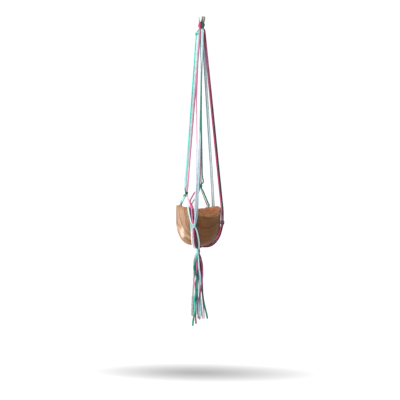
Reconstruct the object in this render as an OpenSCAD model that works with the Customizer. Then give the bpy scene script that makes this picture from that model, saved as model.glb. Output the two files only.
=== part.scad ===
// Hanging macrame planter: a turned natural-edge bowl held in a net of knotted yarns that hang from a
// loop, with the yarns gathered under the bowl into a tassel. Millimetres, +Z up, viewer at -Y.
// The origin is where the hook bears, on the inside of the loop's crown, so everything hangs below it.

/* [Bowl] */
// Outer radius of the bowl at its rim
rim_r = 72; // [70:0.5:72]
// Outer radius of the bowl at its belly
belly_r = 71; // [69:0.5:71]
// Radius of the flat foot
foot_r = 26; // [22:1:28]
// Height of the belly above the foot
belly_h = 75; // [70:1:80]
// Mean height of the rim above the foot
bowl_h = 114; // [108:1:114]
// Thickness of the wall
wall_t = 6; // [4:0.5:7]
// Thickness of the floor
floor_t = 8; // [6:0.5:10]
// Height of the rim's two long waves
rim_wave = 10; // [0:0.5:10]
// Lean of the rim towards its high corner
rim_lean = 9; // [0:0.5:9]
// Height of the rim's three short ripples
rim_ripple = 4; // [0:0.5:4]
// Height kept at the rim's low front corner
rim_corner = 10; // [0:0.5:10]

/* [Net] */
// Drop from the hook to the underside of the bowl
drop = 735; // [650:5:735]
// Thickness of the yarn
yarn_d = 4.4; // [3.6:0.1:4.4]
// Thickness of the yarn that makes the hanging loop
loop_d = 4.2; // [3.6:0.1:4.2]
// Width of the yarn where a knot grips it, as a share of its thickness
grip = 0.62; // [0.5:0.01:0.64]

/* [Knots] */
// Diameter of the top knot
top_knot_d = 24; // [20:0.5:24]
// Diameter of the small knot that joins two yarns below the top knot
join_knot_d = 10; // [9:0.5:11]
// Diameter of the wrap that gathers the yarns under the bowl
wrap_d = 14.6; // [13.6:0.2:14.6]
// Height of the straight part of that wrap
wrap_h = 6; // [4:0.5:6]

/* [Tassel] */
// Thickness of the tassel's tails
tail_d = 4.4; // [3.6:0.1:4.4]

/* [Hidden] */
$fn = 64;
foot_z = -drop;
ring_z = foot_z + 74;
knot_gap = 0.6;
knot_squeeze = 0.92;
knot_lay = 4.7;
belly_knot_d = 12.6;
belly_knot_r = belly_r + knot_gap + belly_knot_d / 2;
lay_gap = 0.6;
layer = yarn_d + 0.1;
top_knot_z = -25;
inner_foot_r = foot_r - 3;
blank_h = bowl_h + 30;
legs_z = -38;
loops_z = -12.6;
wrap_top_z = foot_z - 12.5;
wrap_pivot_z = wrap_top_z - wrap_d / 2;
tassel_pivot_z = wrap_pivot_z - wrap_h;
tails_z = tassel_pivot_z - wrap_d / 2 - 0.3;
ends_z = wrap_top_z + 0.3;

// Knots as [centre, width, depth, height, turns]; a belly knot's centre is [azimuth, radius]
left_knot = [[-40, -30, foot_z + 172], 11.6, 11.2, 12, 3];
middle_knot = [[5, 0, foot_z + 189], 12.6, 11.6, 14, 3];
front_knot = [[-101, belly_knot_r], 21, belly_knot_d, 15, 3];
right_knot = [[-8, belly_knot_r], 15, belly_knot_d, 13, 3];
back_knot = [[100, belly_knot_r], 15, belly_knot_d, 13, 3];
join_knot_at = [-15.5, -6.5, -52];

// Colours of the yarns
teal = [0.24, 0.68, 0.62];
dark_teal = [0.08, 0.36, 0.31];
mint = [0.68, 0.88, 0.85];
white = [0.88, 0.91, 0.91];
pink = [0.78, 0.36, 0.54];
rose = [0.84, 0.66, 0.74];
maroon = [0.42, 0.16, 0.28];
blue = [0.66, 0.78, 0.86];
lilac = [0.74, 0.73, 0.82];
grey = [0.60, 0.66, 0.66];
sage = [0.52, 0.58, 0.52];
olive = [0.36, 0.38, 0.33];
navy = [0.16, 0.17, 0.26];
green = [0.07, 0.17, 0.14];

function unit(v) = v / norm(v);
function place(p) = [p[0], p[1], p[2]];
function along(a, b, f) = a + (b - a) * f;

// Point beside a meridian: az is its azimuth, r the distance out and t the distance to the side
function beside(az, r, t, z, k = 1) = [r * cos(az) - t * sin(az), r * sin(az) + t * cos(az), z, k];

// Height of the rim above the foot at an azimuth
function rim_at(az) = bowl_h + rim_lean * cos(az - 195) + rim_wave * cos(2 * az - 63)
    + rim_ripple * cos(3 * az - 56) + rim_corner * pow(max(0, cos(az + 42)), 4);

// Rounds each corner of a route by cutting it back c each way and bending a parabola across
function cut_back(p, q, c) = along(p, q, min(0.45, c / max(0.01, norm(place(q) - place(p)))));
function bend(a, p, b, f) = along(along(a, p, f), along(p, b, f), f);
function rounded(p, c) = [
    p[0],
    for (i = [1 : len(p) - 2], f = [0, 0.5, 1]) bend(cut_back(p[i], p[i - 1], c), p[i],
        cut_back(p[i], p[i + 1], c), f),
    p[len(p) - 1]
];

// One side vector for each ring, carried along the route so that the tube doesn't twist
function carried(t, first) = [
    for (i = 0, u = first; i < len(t); i = i + 1, u = i < len(t) ? unit(u - (u * t[i]) * t[i]) : u) u
];

// A yarn swept along a route of [x, y, z, share of its thickness], with level ends
module yarn(route, d, first_way = [0, 0, -1], last_way = [0, 0, -1], sides = 8) {
    n = len(route);
    t = [for (i = [0 : n - 1])
        i == 0 ? first_way : i == n - 1 ? last_way : unit(place(route[i + 1]) - place(route[i - 1]))];
    u = carried(t, [1, 0, 0]);
    rings = [for (i = [0 : n - 1], j = [0 : sides - 1])
        place(route[i]) + route[i][3] * d / 2
        * (cos(360 * j / sides) * u[i] + sin(360 * j / sides) * cross(t[i], u[i]))];
    skin = [for (i = [0 : n - 2], j = [0 : sides - 1], h = [0, 1])
        let (a = i * sides + j, b = i * sides + (j + 1) % sides)
        h == 0 ? [a, a + sides, b] : [b, a + sides, b + sides]];
    head = [[for (j = [0 : sides - 1]) j]];
    foot = [[for (j = [sides - 1 : -1 : 0]) (n - 1) * sides + j]];
    polyhedron(rings, concat(head, skin, foot));
}

// The bowl's outer side as [radius, height] at f from 0, the belly, to 90, the foot
function side_at(f, out) = let (
        across = belly_r - foot_r,
        tilt = unit([cos(f) / across, sin(f) / belly_h])
    ) [foot_r + across * cos(f) + out * tilt[0], belly_h - belly_h * sin(f) - out * tilt[1]];

// Spots on top of the wrap where the yarns go in: the centre, a ring of 5 and a ring of 10
function wrap_spot(i) = i == 0 ? [0, 0, ends_z, grip]
    : i <= 5 ? beside(-137 + 72 * (i - 1), 2.9, 0, ends_z, grip)
    : beside(-155 + 36 * (i - 6), 5.8, 0, ends_z, grip);

// A yarn laid down the bowl from a start point, t beside the meridian az and in layer 0 or 1,
// then in under the foot to its spot on the wrap; a deep one dips under its neighbours on the way, and a
// bowed one swings aside on the bowl and lies closer to it
function cradle(start, az, t, level, spot, deep = false, bow = 0) = let (
        out = lay_gap + yarn_d / 2 + level * layer,
        goal = wrap_spot(spot),
        near = beside(az, 14, t * 0.86, foot_z - out - 0.5, 0.85),
        dive = along(near, goal, 0.7),
        sink = spot == 0 ? 0.04 : deep || level == 1 ? 0.64 : 0.33
    ) [
        start,
        for (f = [14 : 9.5 : 90])
            let (aside = bow * sin(2 * f), s = side_at(f, out - 0.6 * aside))
            beside(az, sqrt(pow(s[0], 2) - pow(t + aside, 2)), t + aside, foot_z + s[1]),
        near,
        [dive[0], dive[1], along(foot_z - lay_gap - yarn_d / 2, goal[2], sink), 0.7],
        goal
    ];

// A yarn led round the bowl outside its rim, from one azimuth, height and radius to another
function round_bowl(a, b, n) = [for (i = [0 : n]) let (p = along(a, b, i / n))
    beside(p[0], along(a[2], b[2], min(1, 2.4 * i / n)), 0, p[1])];

// Places on a belly knot's faces: t to the side, level 0 inside and 1 outside, up 1 or down -1
function knot_place(knot, t, level, up) = beside(knot[0][0], knot[0][1] + (level - 0.5) * knot_lay, t,
    ring_z + up * knot[3] / 2, knot_squeeze);

// Places on a hanging knot's faces, dx and dy from its centre
function face_place(knot, dx, dy, up) =
    [knot[0][0] + dx, knot[0][1] + dy, knot[0][2] + up * knot[3] / 2, knot_squeeze];

// Routes of the yarns, each a list of stretches between knots
CORDS = [
    ["cord_teal_left", teal, [
        [[-8.5, -6, legs_z, 0.85], [-11, -6, -42, 1], [-15.5, -6.5, -48, 0.9]],
        [[-15.5, -6.5, -56, 0.9], [-15.8, -7, -64, 1], [-42.7, -30, foot_z + 205, 1],
            [-43.4, -32.4, foot_z + 187, 1], face_place(left_knot, -2.5, -2.4, 1)],
        concat([face_place(left_knot, -2.5, -2.4, -1), [-43, -30, foot_z + 160, 1],
            [-52, 26, foot_z + 133, 1], beside(144, 68, 0, foot_z + 121.5),
            beside(139, 76, 0, foot_z + 119.5), beside(134.5, 76.6, 0, foot_z + 110)],
            round_bowl([131, foot_z + 103, 76.6], [101.8, ring_z + 8, 75.2], 5),
            [knot_place(back_knot, 2.4, 0, 1)]),
        cradle(knot_place(back_knot, 2.4, 0, -1), 100, 2.4, 0, 15)]],
    ["cord_mint_left", mint, [
        [[-7, 2, legs_z, 0.85], [-9.4, 1.4, -50, 1], [-46.9, -24.4, foot_z + 205, 1],
            [-45.2, -26.5, foot_z + 187, 1], face_place(left_knot, -2.5, 2.4, 1)],
        concat([face_place(left_knot, -2.5, 2.4, -1), [-47, -23.6, foot_z + 163.5, 1],
            [-57, 24, foot_z + 137, 1], beside(148.5, 70, 0, foot_z + 124.5),
            beside(144.5, 77.6, 0, foot_z + 122.3), beside(140.5, 80.8, 0, foot_z + 116)],
            round_bowl([136, foot_z + 108, 81.8], [101.8, ring_z + 9, 80.4], 5),
            [knot_place(back_knot, 2.4, 1, 1)]),
        cradle(knot_place(back_knot, 2.4, 1, -1), 100, 2.4, 1, 14)]],
    ["cord_white_left", white, [
        [[-7, -2.6, legs_z, 0.85], [-7.6, -3.5, -50, 1], [-40, -25.5, foot_z + 205, 1],
            [-38.2, -26.4, foot_z + 187, 1], face_place(left_knot, 2.5, 2.4, 1)],
        [face_place(left_knot, 2.5, 2.4, -1), [-38.6, -30, foot_z + 158.5, 1],
            [-35, -61, foot_z + 147, 1], [-33.5, -67.6, foot_z + 132, 1], [-31, -71.6, foot_z + 116, 1],
            knot_place(front_knot, -7.1, 1, 1)],
        cradle(knot_place(front_knot, -7.1, 1, -1), -101, -7.1, 1, 6)]],
    ["cord_pink_left", pink, [
        [[-2.4, -2.4, legs_z, 0.85], [-3, -3, -50, 1], [-34.8, -30.5, foot_z + 205, 1],
            [-35.6, -32.6, foot_z + 187, 1], face_place(left_knot, 2.5, -2.4, 1)],
        [face_place(left_knot, 2.5, -2.4, -1), [-36, -38, foot_z + 162.5, 1],
            [-29.5, -68.5, foot_z + 150, 1], [-22.9, -74.4, foot_z + 132, 1], [-21.6, -75.8, foot_z + 116, 1],
            knot_place(front_knot, -2.4, 1, 1)],
        cradle(knot_place(front_knot, -2.4, 1, -1), -101, -2.4, 1, 7)]],
    ["cord_white_front", white, [
        [[2.4, -7, legs_z, 0.85], [2.2, -7.8, -50, 1], [2.6, -23.5, foot_z + 535, 1],
            [1.6, -40.4, foot_z + 385, 1], [-7.7, -74.8, foot_z + 127, 1],
            [-8.4, -79.4, foot_z + 110, 1], knot_place(front_knot, 2.4, 1, 1)],
        cradle(knot_place(front_knot, 2.4, 1, -1), -101, 2.4, 1, 8)]],
    ["cord_blue_front", blue, [
        [[7, -7, legs_z, 0.85], [6, -10.6, -50, 1], [3.2, -28.6, foot_z + 535, 1],
            [3.6, -47.4, foot_z + 385, 1], [-3, -75, foot_z + 127, 1],
            [-3.4, -77, foot_z + 110, 1], knot_place(front_knot, 7.1, 1, 1)],
        cradle(knot_place(front_knot, 7.1, 1, -1), -101, 7.1, 1, 9, bow = 7)]],
    ["cord_pink_front", pink, [
        [[-2.4, -7, legs_z, 0.85], [-3, -9, -50, 1], [-9, -19, foot_z + 595, 1],
            [-12, -33, foot_z + 480, 1], [-8.6, -50, foot_z + 345, 1], [-8.2, -67, foot_z + 215, 1],
            [-12.4, -74, foot_z + 127, 1], [-12.2, -74.4, foot_z + 110, 1],
            knot_place(front_knot, 4.7, 0, 1)],
        cradle(knot_place(front_knot, 4.7, 0, -1), -101, 4.7, 0, 2)]],
    ["cord_teal_middle", dark_teal, [
        [[2.4, 2.4, legs_z, 0.85], [2.6, 2, -50, 1], [3.2, 0, foot_z + 535, 1], [4.6, -1.2, foot_z + 405, 1],
            [10.4, -3, foot_z + 221, 1],
            [15.2, -3.4, foot_z + 203.5, 1], [11.4, -3, foot_z + 199, 1],
            face_place(middle_knot, 2.6, -2.5, 1)],
        concat([face_place(middle_knot, 2.6, -2.5, -1), [12, 2, foot_z + 177, 1],
            beside(61, 68.5, 0, foot_z + 117.2), beside(63, 77.6, 0, foot_z + 115.6),
            beside(67, 79.6, 0, foot_z + 109)],
            round_bowl([70.5, foot_z + 101, 80.6], [98.2, ring_z + 9, 80.4], 5),
            [knot_place(back_knot, -2.4, 1, 1)]),
        cradle(knot_place(back_knot, -2.4, 1, -1), 100, -2.4, 1, 13)]],
    ["cord_rose_middle", rose, [
        [[-2.4, 7, legs_z, 0.85], [-1.6, 7.4, -50, 1], [0.6, 10, foot_z + 610, 1],
            [2.8, 9.6, foot_z + 535, 1], [4.4, 8.4, foot_z + 405, 1], [5, 4.4, foot_z + 230, 1],
            face_place(middle_knot, 2.6, 2.5, 1)],
        concat([face_place(middle_knot, 2.6, 2.5, -1), [6.8, 8, foot_z + 176, 1],
            beside(66, 67.5, 0, foot_z + 116.4), beside(68, 75.6, 0, foot_z + 114.4),
            beside(72.5, 76.6, 0, foot_z + 107)],
            round_bowl([76, foot_z + 99, 76.2], [98.2, ring_z + 8, 75.2], 5),
            [knot_place(back_knot, -2.4, 0, 1)]),
        cradle(knot_place(back_knot, -2.4, 0, -1), 100, -2.4, 0, 5)]],
    ["cord_maroon_middle", maroon, [
        [[2.4, -2.4, legs_z, 0.85], [2.2, -2.8, -50, 1], [3, -5, foot_z + 535, 1],
            [3.2, -6, foot_z + 405, 1], [0.2, -3.4, foot_z + 230, 1], face_place(middle_knot, -2.6, -2.5, 1)],
        [face_place(middle_knot, -2.6, -2.5, -1), [0.6, -6, foot_z + 178, 1], [-13.4, -30, foot_z + 174, 1],
            [-29, -60, foot_z + 149, 1], [-18, -73, foot_z + 135, 1], [-17.2, -73.4, foot_z + 114, 1],
            knot_place(front_knot, 0, 0, 1)],
        cradle(knot_place(front_knot, 0, 0, -1), -101, 0, 0, 0)]],
    ["cord_grey_middle", grey, [
        [[-2.4, 2.4, legs_z, 0.85], [-2.2, 2.8, -50, 1], [0, 5.4, foot_z + 610, 1],
            [2.6, 4.8, foot_z + 535, 1], [3, 3.6, foot_z + 405, 1], [-1.6, 2, foot_z + 230, 1],
            face_place(middle_knot, -2.6, 2.5, 1)],
        [face_place(middle_knot, -2.6, 2.5, -1), [0.6, -2, foot_z + 172, 1],
            [-23.5, -57, foot_z + 138, 1], [-28.3, -70.2, foot_z + 135, 1], [-26, -71.4, foot_z + 116, 1],
            knot_place(front_knot, -4.7, 0, 1)],
        cradle(knot_place(front_knot, -4.7, 0, -1), -101, -4.7, 0, 1)]],
    ["cord_grey_back", grey, [
        concat([[2.4, 7, legs_z, 0.85], [3.2, 8, -50, 1], [44.4, 60.8, foot_z + 122, 1],
            [44.4, 61.6, foot_z + 108, 1]],
            cradle([45, 60.9, foot_z + 92, 1], 50.5, 2.7, 0, 4))]],
    ["cord_lilac_back", lilac, [
        concat([[7, 7, legs_z, 0.85], [8, 8, -50, 1], [49.6, 56.4, foot_z + 122, 1],
            [49.8, 57, foot_z + 108, 1]],
            cradle([49.6, 57.4, foot_z + 92, 1], 50.5, -2.7, 0, 12, true))]],
    ["cord_pink_right", pink, [
        [[7, -2.4, legs_z, 0.85], [8, -3, -50, 1], [73.4, -14.4, foot_z + 116, 1],
            [73.9, -14.6, foot_z + 100, 1], knot_place(right_knot, -2.5, 0, 1)],
        cradle(knot_place(right_knot, -2.5, 0, -1), -8, -2.5, 0, 3)]],
    ["cord_maroon_right", maroon, [
        [[7, 2.4, legs_z, 0.85], [8.6, 2.4, -50, 1], [74.2, -9.4, foot_z + 116, 1],
            [74.8, -9, foot_z + 100, 1], knot_place(right_knot, 2.5, 0, 1)],
        cradle(knot_place(right_knot, 2.5, 0, -1), -8, 2.5, 0, 11)]],
    ["cord_green_right", green, [
        [[11.4, 0, legs_z, 0.85], [13, 0, -50, 1], [78.4, -12.6, foot_z + 116, 1],
            [79, -12.2, foot_z + 100, 1], knot_place(right_knot, 0, 1, 1)],
        cradle(knot_place(right_knot, 0, 1, -1), -8, 0, 1, 10)]]
];

// Routes of the tassel's tails
TAILS = [
    ["tail_teal", teal, [[-3, -5, tails_z, grip], [-4.6, -8.4, -774, 0.9], [-13, -11.6, -811, 1],
        [-0.6, -12, -846, 1], [-1.6, -12, -878, 1], [-10.2, -12, -911, 1], [-5.6, -12, -933, 1],
        [-8.6, -11, -958, 1], [-12.8, -9, -988, 1.05], [-13.2, -8.5, -999, 1]]],
    ["tail_blue", blue, [[0.6, -5.6, tails_z, grip], [2, -8.6, -774, 0.9], [4.4, -11, -812, 1],
        [9.4, -10.4, -840, 1], [6, -7, -872, 1], [8.4, -6, -912, 1], [11, -8.6, -948, 1],
        [11.4, -10, -976, 1]]],
    ["tail_pink", pink, [[4.6, -3.2, tails_z, grip], [8.8, -5, -774, 0.9], [15, -6.4, -800, 1],
        [16.6, -6.4, -836, 1], [14.4, -7.4, -856, 1], [10.4, -11.4, -886, 1], [5.2, -11, -912, 1],
        [5.4, -8.4, -940, 1], [8.4, -5, -979, 1]]],
    ["tail_white", white, [[-5.4, -1.6, tails_z, grip], [-8.6, -3.4, -774, 0.9], [-13.6, -5.6, -790, 1],
        [-13, -6, -832, 1], [-14.2, -6, -875, 1], [-17.6, -6, -915, 1], [-18, -6, -966, 1]]],
    ["tail_rosy", rose, [[-2.2, -1.6, tails_z, grip], [-2.6, -3.6, -776, 0.8], [-3.8, -6.2, -800, 1],
        [-4.6, -6.4, -825, 1], [-8.2, -6.4, -856, 1], [-8.6, -6.4, -876, 1], [-9.4, -6.4, -905, 1]]],
    ["tail_maroon", maroon, [[2.2, -1.6, tails_z, grip], [2.4, -3.6, -776, 0.8], [1.6, -6, -812, 1],
        [0.4, -6.4, -850, 1], [-2.6, -6.4, -890, 1], [-6, -6.2, -930, 1], [-5.4, -6, -960, 1],
        [-2.6, -6, -993, 1]]],
    ["tail_mint", mint, [[-5.4, 2.4, tails_z, grip], [-8.2, 2, -776, 0.85], [-12.6, 0.4, -800, 1],
        [-12, -1, -850, 1], [-13.4, -1.2, -900, 1], [-13, -1.4, -940, 1], [-13.6, -1.6, -970, 1]]],
    ["tail_short", dark_teal, [[-2.6, 1.6, tails_z, grip], [-3.8, 1, -778, 0.8], [-7.4, -0.6, -810, 1],
        [-6.6, -1, -850, 1], [-7.6, -1.4, -890, 1], [-8.4, -1.6, -927, 1]]],
    ["tail_sage", sage, [[0.8, 1.4, tails_z, grip], [0.4, 0.8, -780, 0.8], [-1.4, -0.8, -815, 1],
        [-1.2, -1.4, -860, 1], [0.6, -1.4, -900, 1], [3, -1.4, -940, 1], [3.8, -1.4, -977, 1]]],
    ["tail_grey", grey, [[4, 0.6, tails_z, grip], [5.6, 0.2, -778, 0.8], [8.6, -1.2, -810, 1],
        [7, -1.4, -850, 1], [9.4, -1.2, -900, 1], [14, -1.2, -940, 1], [18.8, -1.4, -977, 1]]],
    ["tail_green", green, [[5.6, 4, tails_z, grip], [9, 3.4, -776, 0.85], [14.4, 1, -805, 1],
        [15.2, -1, -850, 1], [16.6, -1.4, -890, 1], [20.4, -1.6, -920, 1], [26.4, -2, -944, 1],
        [31, -2, -962, 1.05], [33.6, -2, -976, 1]]],
    ["tail_olive", olive, [[2.4, 4.8, tails_z, grip], [4.4, 5.4, -776, 0.85], [10.4, 4.8, -810, 1],
        [12, 3.6, -850, 1], [15.6, 3.4, -890, 1], [20, 3.2, -930, 1], [24, 3, -979, 1]]],
    ["tail_lilac", lilac, [[-1.4, 5.4, tails_z, grip], [-1, 6.4, -776, 0.85], [4, 5, -812, 1],
        [5, 3.4, -850, 1], [6.4, 3.4, -890, 1], [9.4, 3.4, -930, 1], [14, 3.4, -968, 1]]],
    ["tail_navy", navy, [[-4.6, 5.6, tails_z, grip], [-6.4, 6.6, -778, 0.85], [-4, 5, -815, 1],
        [-2.6, 3.4, -850, 1], [-1.6, 3.4, -890, 1], [0.4, 3.4, -930, 1], [1.4, 3.4, -964, 1]]],
    ["tail_pale", white, [[-8.4, 5, tails_z, grip], [-11.6, 6.4, -780, 0.85], [-12, 5.4, -815, 1],
        [-10.6, 3.8, -850, 1], [-10.6, 3.6, -890, 1], [-9, 3.4, -930, 1], [-9.6, 3.4, -958, 1]]],
    ["tail_plum", maroon, [[1.4, 9.2, tails_z, grip], [0.6, 11.4, -780, 0.85], [-1, 10.4, -815, 1],
        [-6.6, 8.4, -850, 1], [-7, 8.2, -890, 1], [-4.8, 8.2, -930, 1], [-4.2, 8.2, -972, 1]]]
];

// The hanging loop's yarns: [name, colour, x at the knot, x at the crown, height of the crown]
LOOPS = [
    ["loop_grey", grey, -5.4, -7.4, 0],
    ["loop_green", green, 0.9, 2.5, 1.6],
    ["loop_sage", sage, 5.4, 6.9, 1.8],
    ["loop_dark", dark_teal, 9.9, 11.3, 1.5]
];

// Outline of a wound knot seen from above: a bar with round ends
module oval(w, d) {
    square([w - d + 0.02, d], center = true);
    for (s = [-1, 1])
        translate([s * (w - d) / 2, 0])
            circle(d = d);
}

// A knot seen as turns of yarn wound round a core
module wound(w, d, h, turns) {
    pitch = h / turns;
    linear_extrude(h, center = true)
        oval(w - 1.4, d - 1.4);
    for (i = [0 : turns - 1])
        translate([0, 0, (i + 0.5) * pitch - h / 2])
            linear_extrude(0.7 * pitch, center = true)
                oval(w, d);
}

module hanging_knot(knot) {
    translate(knot[0])
        wound(knot[1], knot[2], knot[3], knot[4]);
}

module belly_knot(knot) {
    rotate([0, 0, knot[0][0]])
        translate([knot[0][1], 0, ring_z])
            rotate([0, 0, 90])
                wound(knot[1], knot[2], knot[3], knot[4]);
}

module knot_left() {
    color(dark_teal)
        hanging_knot(left_knot);
}

module knot_middle() {
    color(maroon)
        hanging_knot(middle_knot);
}

module knot_front() {
    color(blue)
        belly_knot(front_knot);
}

module knot_right() {
    color(dark_teal)
        belly_knot(right_knot);
}

module knot_back() {
    color(lilac)
        belly_knot(back_knot);
}

// Everything above the rim's wavy edge, as a ring that the bowl is cut with
module above_rim() {
    steps = 48;
    inner = belly_r / 2;
    outer = rim_r + 10;
    lid = foot_z + blank_h + 10;
    points = [for (i = [0 : steps - 1]) let (az = 360 * (i + 0.5) / steps, z = foot_z + rim_at(az))
        each [[inner * cos(az), inner * sin(az), z], [outer * cos(az), outer * sin(az), z],
            [outer * cos(az), outer * sin(az), lid], [inner * cos(az), inner * sin(az), lid]]];
    faces = [for (i = [0 : steps - 1], j = [0 : 3], h = [0, 1]) let (
            a = 4 * i + j, b = 4 * i + (j + 1) % 4,
            c = (a + 4) % (4 * steps), d = (b + 4) % (4 * steps)
        ) h == 0 ? [a, b, c] : [b, d, c]];
    polyhedron(points, faces);
}

module bowl() {
    steps = 9;
    inner_belly = belly_r - wall_t;
    outside = [for (i = [0 : steps]) side_at(90 - 90 * i / steps, 0)];
    inside = [for (i = [0 : steps]) let (f = 90 * i / steps)
        [inner_foot_r + (inner_belly - inner_foot_r) * cos(f), belly_h - (belly_h - floor_t) * sin(f)]];
    color([0.66, 0.47, 0.34])
        difference() {
            translate([0, 0, foot_z])
                rotate_extrude($fn = 96)
                    polygon(concat([[0, 0]], outside, [[rim_r, blank_h], [rim_r - wall_t, blank_h]], inside,
                        [[0, floor_t]]));
            above_rim();
        }
}

module top_knot() {
    color(maroon)
        translate([0, 0, top_knot_z])
            sphere(d = top_knot_d);
}

module join_knot() {
    color(teal)
        translate(join_knot_at)
            intersection() {
                sphere(d = join_knot_d);
                cube([join_knot_d, join_knot_d, 8], center = true);
            }
}

module gather_wrap() {
    color(blue)
        union() {
            translate([0, 0, wrap_pivot_z])
                sphere(d = wrap_d);
            translate([0, 0, tassel_pivot_z])
                cylinder(d = wrap_d, h = wrap_h);
            translate([0, 0, tassel_pivot_z])
                sphere(d = wrap_d);
        }
}

module cord(c) {
    color(c[1])
        for (stretch = c[2])
            yarn(rounded(stretch, 9), yarn_d);
}

module tail(t) {
    color(t[1])
        yarn(rounded(t[2], 14), tail_d);
}

// One yarn of the hanging loop: up from the knot, over the hook and down again
module loop_yarn(l) {
    over = loop_d / 2 + l[4];
    half = [[l[2], 7, loops_z, 1], [along(l[2], l[3], 0.5), 7.9, -7.5, 1], [l[3], 8, -3, 1],
        [l[3], 6.4, over - 2.3, 1], [l[3], 3.4, over - 0.6, 1]];
    other = [for (i = [len(half) - 1 : -1 : 0]) [half[i][0], -half[i][1], half[i][2], 1]];
    color(l[1])
        yarn(concat(half, [[l[3], 0, over, 1]], other), loop_d, [0, 0, 1], [0, 0, -1]);
}

bowl();
top_knot();
join_knot();
knot_left();
knot_middle();
knot_front();
knot_right();
knot_back();
gather_wrap();
for (l = LOOPS)
    loop_yarn(l);
for (c = CORDS)
    cord(c);
for (t = TAILS)
    tail(t);
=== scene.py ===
"""Looks for the hanging macrame planter: a turned natural-edge bowl in a net of knotted yarns that hang
from a loop and end in a tassel. Lengths in the routes are millimetres, as in part.scad, and become metres
where a mesh is made."""
import math

import bmesh
import bpy
import numpy as np
from mathutils import Euler, Matrix, Vector


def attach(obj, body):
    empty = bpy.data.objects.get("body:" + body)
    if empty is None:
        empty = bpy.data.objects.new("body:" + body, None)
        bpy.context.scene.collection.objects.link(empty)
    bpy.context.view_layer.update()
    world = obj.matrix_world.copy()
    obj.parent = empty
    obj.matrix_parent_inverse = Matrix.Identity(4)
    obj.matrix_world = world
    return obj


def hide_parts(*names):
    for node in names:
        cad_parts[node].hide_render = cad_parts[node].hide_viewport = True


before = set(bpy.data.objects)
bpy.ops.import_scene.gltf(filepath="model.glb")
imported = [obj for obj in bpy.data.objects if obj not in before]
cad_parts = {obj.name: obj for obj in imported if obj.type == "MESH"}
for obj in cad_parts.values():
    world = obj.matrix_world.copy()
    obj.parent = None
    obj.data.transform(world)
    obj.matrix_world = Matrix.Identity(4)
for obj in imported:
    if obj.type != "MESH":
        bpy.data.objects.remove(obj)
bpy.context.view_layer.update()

MM = 0.001

# ---- Sizes shared with part.scad, in millimetres
RIM_R, BELLY_R, FOOT_R, BELLY_H, BOWL_H = 72, 71, 26, 75, 114
WALL_T, FLOOR_T = 6, 8
YARN_D, LOOP_D, TAIL_D, GRIP = 4.4, 4.2, 4.4, 0.62
KNOT_GAP, LAY_GAP, LAYER = 0.6, 0.6, 4.5
FOOT_Z = -735
RING_Z = FOOT_Z + 74
LEGS_Z = -38
TOP_KNOT_Z, TOP_KNOT_R = -25, 12
WRAP_D, WRAP_H = 14.6, 6
WRAP_TOP_Z = FOOT_Z - 12.5
WRAP_PIVOT_Z = WRAP_TOP_Z - WRAP_D / 2
TASSEL_PIVOT_Z = WRAP_PIVOT_Z - WRAP_H
TAILS_Z = TASSEL_PIVOT_Z - WRAP_D / 2 - 0.3
ENDS_Z = WRAP_TOP_Z + 0.3

# Knots as [centre or [azimuth, radius], width, depth, height]
LEFT_KNOT = [[-40, -30, FOOT_Z + 172], 11.6, 11.2, 12]
MIDDLE_KNOT = [[5, 0, FOOT_Z + 189], 12.6, 11.6, 14]
FRONT_KNOT = [[-101, BELLY_R + KNOT_GAP + 6.3], 21, 12.6, 15]
RIGHT_KNOT = [[-8, BELLY_R + KNOT_GAP + 6.3], 15, 12.6, 13]
BACK_KNOT = [[100, BELLY_R + KNOT_GAP + 6.3], 15, 12.6, 13]
JOIN_KNOT = [-15.5, -6.5, -52]


# ---- Camera, light and floor
VIEW_WIDTH = 1.28
CAMERA_AWAY = 45
AIM = Vector((0.0043, 0, -0.591))
ELEVATION, ROLL = 10, 0.83
FLOOR_Z = -1.154


def make_camera():
    turn = Euler((math.radians(90 - ELEVATION), 0, 0)).to_matrix()
    turn = turn @ Matrix.Rotation(math.radians(ROLL), 3, "Z")
    data = bpy.data.cameras.new("camera")
    data.sensor_width = 36
    data.lens = 36 * CAMERA_AWAY / VIEW_WIDTH
    data.clip_end = 120
    camera = bpy.data.objects.new("camera", data)
    camera.matrix_world = Matrix.Translation(AIM + turn @ Vector((0, 0, CAMERA_AWAY))) @ turn.to_4x4()
    bpy.context.scene.collection.objects.link(camera)
    bpy.context.scene.camera = camera


def make_lamp(name, place, size, power, colour=(1, 1, 1), at=(0, 0, -0.6)):
    data = bpy.data.lights.new(name, "AREA")
    data.shape = "RECTANGLE"
    data.size, data.size_y = size
    data.energy = power
    data.color = colour
    lamp = bpy.data.objects.new(name, data)
    lamp.location = place
    lamp.rotation_euler = (Vector(at) - Vector(place)).to_track_quat("-Z", "Y").to_euler()
    bpy.context.scene.collection.objects.link(lamp)


def make_light():
    scene = bpy.context.scene
    scene.view_settings.view_transform = "Standard"
    world = bpy.data.worlds.new("studio")
    scene.world = world
    world.use_nodes = True
    nodes, links = world.node_tree.nodes, world.node_tree.links
    soft = nodes["Background"]
    soft.inputs["Color"].default_value = (0.97, 0.98, 1, 1)
    soft.inputs["Strength"].default_value = AMBIENT
    white = nodes.new("ShaderNodeBackground")
    white.inputs["Strength"].default_value = 1.0
    seen, mix = nodes.new("ShaderNodeLightPath"), nodes.new("ShaderNodeMixShader")
    links.new(seen.outputs["Is Camera Ray"], mix.inputs[0])
    links.new(soft.outputs[0], mix.inputs[1])
    links.new(white.outputs[0], mix.inputs[2])
    links.new(mix.outputs[0], nodes["World Output"].inputs["Surface"])
    make_lamp("key", (-1.5, -0.9, -0.25), (0.7, 1.5), KEY_POWER, (1, 0.985, 0.96))
    make_lamp("strip", (-1.3, 0.35, -0.85), (0.25, 1.2), STRIP_POWER, (1, 0.98, 0.95), (0, 0, -0.69))
    make_lamp("top", (0.1, -0.2, 1.6), (1.2, 1.2), TOP_POWER)


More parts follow.
